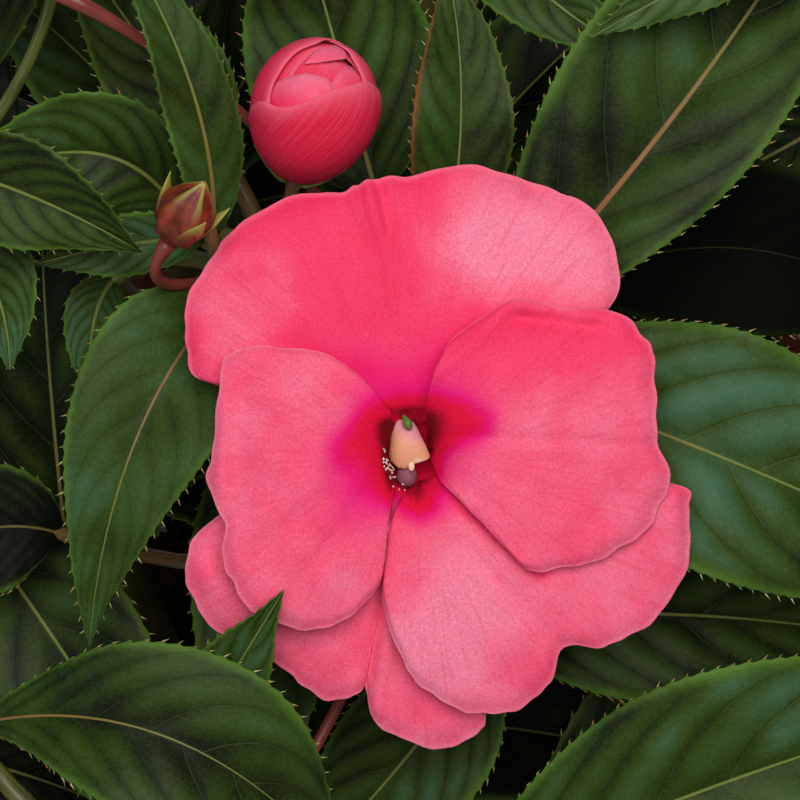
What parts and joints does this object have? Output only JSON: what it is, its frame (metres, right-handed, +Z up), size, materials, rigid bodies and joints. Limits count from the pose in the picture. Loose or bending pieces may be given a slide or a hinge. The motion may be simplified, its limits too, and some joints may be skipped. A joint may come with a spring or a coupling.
{
  "type": "potted new guinea impatiens",
  "caption": "Potted New Guinea impatiens: a mound of toothed dark green leaves with open coral-pink blooms and red buds, in a plain clay flower pot.",
  "frame": {"origin": "middle of the flat foot of the pot, on the surface that it stands on", "axes": "+Z up along the pot, -Y towards the side that the front bloom of the picture faces, +X to its right as seen in the picture"},
  "size_m": [0.2934, 0.283, 0.2989],
  "materials": {
    "clay": "matte unglazed terracotta",
    "potting_mix": "rough crumbs of peat and bark",
    "leaf": "satin dark green leaf skin",
    "petal": "velvety coral-pink petal",
    "column": "waxy cream",
    "bud": "satin dark red with green tips"
  },
  "bodies": {
    "root": {"pot": "clay", "potting_mix": "potting_mix", "front_shoot": "leaf", "bud_shoot": "leaf", "lower_left_shoot": "leaf", "upper_left_shoot": "leaf", "top_shoot": "leaf", "upper_right_shoot": "leaf", "lower_shoot": "leaf", "left_shoot": "leaf", "right_shoot": "leaf", "right_back_shoot": "leaf", "back_shoot": "leaf", "left_back_shoot": "leaf", "far_left_shoot": "leaf", "front_bloom": "petal", "upper_left_bloom": "petal", "lower_bloom": "petal", "right_bloom": "petal", "back_bloom": "petal", "far_left_bloom": "petal", "front_column": "column", "upper_left_column": "column", "lower_column": "column", "right_column": "column", "back_column": "column", "far_left_column": "column", "opening_bud": "petal", "back_bud": "petal", "small_bud": "bud", "high_bud": "bud", "lower_bud": "bud", "left_bud": "bud"}
  },
  "joints": []
}
